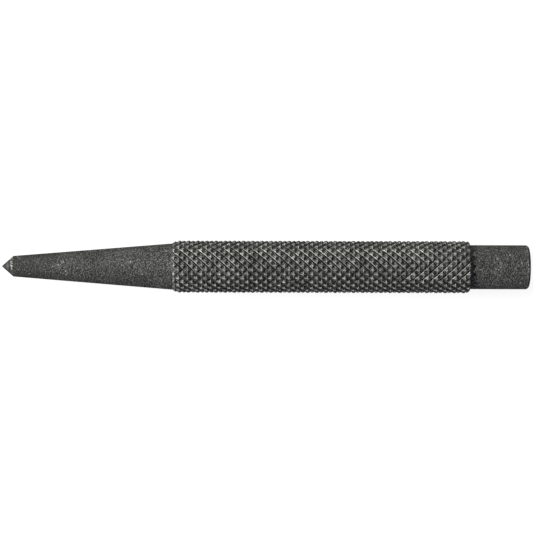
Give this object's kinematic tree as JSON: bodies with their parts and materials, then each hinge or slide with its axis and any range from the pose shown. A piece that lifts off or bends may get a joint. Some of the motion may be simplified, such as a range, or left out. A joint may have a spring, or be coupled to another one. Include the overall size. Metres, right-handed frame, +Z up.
{
  "type": "centre punch",
  "caption": "Steel centre punch with a ground conical point, a tapered shank, a diamond-knurled grip and a plain round striking head, for marking hole centres before drilling.",
  "frame": {"origin": "under the middle of the punch's length, on the surface that it lies on", "axes": "+X along the punch, from the point to the striking head; +Z up from the surface that it lies on"},
  "size_m": [0.1016, 0.01, 0.0101],
  "materials": {
    "blackened_steel": "matte",
    "ground_steel": "satin"
  },
  "bodies": {
    "root": {"ground_point": "ground_steel", "tapered_shank": "blackened_steel", "knurled_grip": "blackened_steel", "striking_head": "blackened_steel"}
  },
  "joints": []
}
